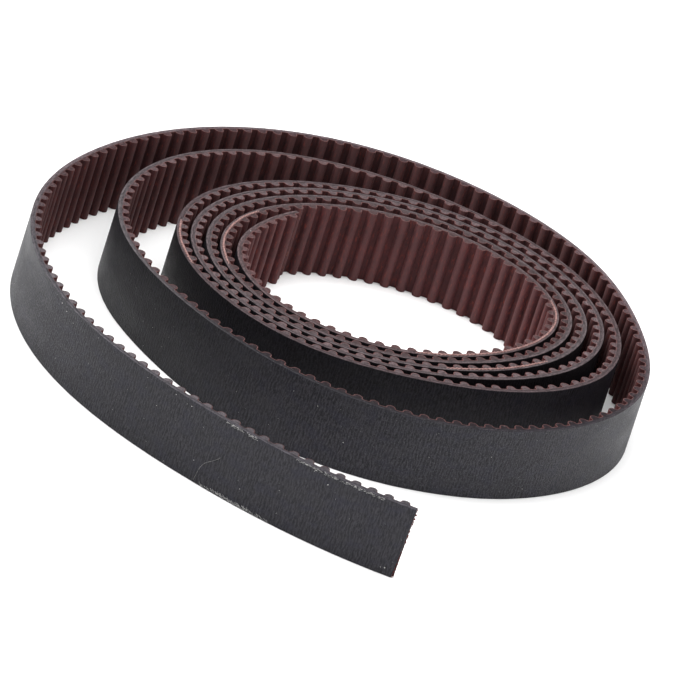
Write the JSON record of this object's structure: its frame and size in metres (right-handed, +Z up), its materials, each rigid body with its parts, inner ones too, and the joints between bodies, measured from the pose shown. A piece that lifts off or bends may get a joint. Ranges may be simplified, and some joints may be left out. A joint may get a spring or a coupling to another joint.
{
  "type": "timing belt",
  "caption": "Open-ended rubber timing belt with rounded teeth, coiled loosely and standing on its cut edge; it clamps at both ends to drive a carriage.",
  "frame": {"origin": "centre of the coil's bounding box, on the plane that its lower cut edge stands on", "axes": "+Z up, across the belt's width; +Y is the coil's longer way, from the free outer end towards the back; +X to the right"},
  "size_m": [0.0738, 0.0894, 0.009],
  "materials": {
    "backing_rubber": "ground black rubber with a fine grain across the belt",
    "tension_cords": "twisted glass-fibre cords",
    "tooth_ply": "rubber teeth faced with wine-brown nylon fabric"
  },
  "bodies": {
    "packed_turns": {"packed_turn_1_backing": "backing_rubber", "packed_turn_1_cords": "tension_cords", "packed_turn_1_teeth": "tooth_ply", "packed_turn_2_backing": "backing_rubber", "packed_turn_2_cords": "tension_cords", "packed_turn_2_teeth": "tooth_ply", "packed_turn_3_backing": "backing_rubber", "packed_turn_3_cords": "tension_cords", "packed_turn_3_teeth": "tooth_ply", "packed_turn_4_backing": "backing_rubber", "packed_turn_4_cords": "tension_cords", "packed_turn_4_teeth": "tooth_ply", "packed_turn_5_backing": "backing_rubber", "packed_turn_5_cords": "tension_cords", "packed_turn_5_teeth": "tooth_ply", "packed_turn_6_backing": "backing_rubber", "packed_turn_6_cords": "tension_cords", "packed_turn_6_teeth": "tooth_ply"},
    "outer_run_10": {"outer_run_10_backing": "backing_rubber", "outer_run_10_cords": "tension_cords", "outer_run_10_teeth": "tooth_ply"},
    "outer_run_09": {"outer_run_09_backing": "backing_rubber", "outer_run_09_cords": "tension_cords", "outer_run_09_teeth": "tooth_ply"},
    "outer_run_08": {"outer_run_08_backing": "backing_rubber", "outer_run_08_cords": "tension_cords", "outer_run_08_teeth": "tooth_ply"},
    "outer_run_07": {"outer_run_07_backing": "backing_rubber", "outer_run_07_cords": "tension_cords", "outer_run_07_teeth": "tooth_ply"},
    "outer_run_06": {"outer_run_06_backing": "backing_rubber", "outer_run_06_cords": "tension_cords", "outer_run_06_teeth": "tooth_ply"},
    "outer_run_05": {"outer_run_05_backing": "backing_rubber", "outer_run_05_cords": "tension_cords", "outer_run_05_teeth": "tooth_ply"},
    "outer_run_04": {"outer_run_04_backing": "backing_rubber", "outer_run_04_cords": "tension_cords", "outer_run_04_teeth": "tooth_ply"},
    "outer_run_03": {"outer_run_03_backing": "backing_rubber", "outer_run_03_cords": "tension_cords", "outer_run_03_teeth": "tooth_ply"},
    "outer_run_02": {"outer_run_02_backing": "backing_rubber", "outer_run_02_cords": "tension_cords", "outer_run_02_teeth": "tooth_ply"},
    "outer_run_01": {"outer_run_01_backing": "backing_rubber", "outer_run_01_cords": "tension_cords", "outer_run_01_teeth": "tooth_ply"},
    "inner_end_01": {"inner_end_01_backing": "backing_rubber", "inner_end_01_cords": "tension_cords", "inner_end_01_teeth": "tooth_ply"},
    "inner_end_02": {"inner_end_02_backing": "backing_rubber", "inner_end_02_cords": "tension_cords", "inner_end_02_teeth": "tooth_ply"},
    "inner_end_03": {"inner_end_03_backing": "backing_rubber", "inner_end_03_cords": "tension_cords", "inner_end_03_teeth": "tooth_ply"}
  },
  "joints": [
    {"name": "outer_run_10_flex", "type": "hinge", "parent": "packed_turns", "child": "outer_run_10", "pos_m": [0.03324, 0.02169, 0.0045], "axis": [0, 0, -1], "range_deg": [-1, 11], "stiffness_Nm_per_rad": 0.001},
    {"name": "outer_run_09_flex", "type": "hinge", "parent": "outer_run_10", "child": "outer_run_09", "pos_m": [0.02326, 0.03642, 0.0045], "axis": [0, 0, -1], "range_deg": [-1.51, 16.42], "stiffness_Nm_per_rad": 0.001},
    {"name": "outer_run_08_flex", "type": "hinge", "parent": "outer_run_09", "child": "outer_run_08", "pos_m": [0.00706, 0.04381, 0.0045], "axis": [0, 0, -1], "range_deg": [-1.38, 15.08], "stiffness_Nm_per_rad": 0.001},
    {"name": "outer_run_07_flex", "type": "hinge", "parent": "outer_run_08", "child": "outer_run_07", "pos_m": [-0.01061, 0.04204, 0.0045], "axis": [0, 0, -1], "range_deg": [-1.43, 15.63], "stiffness_Nm_per_rad": 0.001},
    {"name": "outer_run_06_flex", "type": "hinge", "parent": "outer_run_07", "child": "outer_run_06", "pos_m": [-0.02501, 0.03152, 0.0045], "axis": [0, 0, -1], "range_deg": [-1.1, 11.95], "stiffness_Nm_per_rad": 0.001},
    {"name": "outer_run_05_flex", "type": "hinge", "parent": "outer_run_06", "child": "outer_run_05", "pos_m": [-0.03399, 0.01603, 0.0045], "axis": [0, 0, -1], "range_deg": [-1.02, 11.1], "stiffness_Nm_per_rad": 0.001},
    {"name": "outer_run_04_flex", "type": "hinge", "parent": "outer_run_05", "child": "outer_run_04", "pos_m": [-0.0364, -0.00166, 0.0045], "axis": [0, 0, -1], "range_deg": [-1.24, 13.48], "stiffness_Nm_per_rad": 0.001},
    {"name": "outer_run_03_flex", "type": "hinge", "parent": "outer_run_04", "child": "outer_run_03", "pos_m": [-0.0307, -0.01856, 0.0045], "axis": [0, 0, -1], "range_deg": [-1.22, 13.3], "stiffness_Nm_per_rad": 0.001},
    {"name": "outer_run_02_flex", "type": "hinge", "parent": "outer_run_03", "child": "outer_run_02", "pos_m": [-0.01818, -0.03133, 0.0045], "axis": [0, 0, -1], "range_deg": [-0.8, 8.63], "stiffness_Nm_per_rad": 0.001},
    {"name": "outer_run_01_flex", "type": "hinge", "parent": "outer_run_02", "child": "outer_run_01", "pos_m": [-0.00236, -0.03983, 0.0045], "axis": [0, 0, -1], "range_deg": [-0.63, 6.76], "stiffness_Nm_per_rad": 0.001},
    {"name": "inner_end_01_flex", "type": "hinge", "parent": "packed_turns", "child": "inner_end_01", "pos_m": [-0.00935, -0.00152, 0.0045], "axis": [0, 0, -1], "range_deg": [0, 20], "stiffness_Nm_per_rad": 0.0002},
    {"name": "inner_end_02_flex", "type": "hinge", "parent": "inner_end_01", "child": "inner_end_02", "pos_m": [-0.01263, 0.00567, 0.0045], "axis": [0, 0, -1], "range_deg": [0, 20], "stiffness_Nm_per_rad": 0.0002},
    {"name": "inner_end_03_flex", "type": "hinge", "parent": "inner_end_02", "child": "inner_end_03", "pos_m": [-0.01172, 0.01354, 0.0045], "axis": [0, 0, -1], "range_deg": [0, 20], "stiffness_Nm_per_rad": 0.0002}
  ],
  "couplings": [
    {"joint": "outer_run_09_flex", "follows": "outer_run_10_flex", "ratio": 1.491},
    {"joint": "outer_run_08_flex", "follows": "outer_run_10_flex", "ratio": 1.37},
    {"joint": "outer_run_07_flex", "follows": "outer_run_10_flex", "ratio": 1.42},
    {"joint": "outer_run_06_flex", "follows": "outer_run_10_flex", "ratio": 1.085},
    {"joint": "outer_run_05_flex", "follows": "outer_run_10_flex", "ratio": 1.008},
    {"joint": "outer_run_04_flex", "follows": "outer_run_10_flex", "ratio": 1.224},
    {"joint": "outer_run_03_flex", "follows": "outer_run_10_flex", "ratio": 1.208},
    {"joint": "outer_run_02_flex", "follows": "outer_run_10_flex", "ratio": 0.783},
    {"joint": "outer_run_01_flex", "follows": "outer_run_10_flex", "ratio": 0.613},
    {"joint": "inner_end_02_flex", "follows": "inner_end_01_flex", "ratio": 1},
    {"joint": "inner_end_03_flex", "follows": "inner_end_01_flex", "ratio": 1}
  ]
}
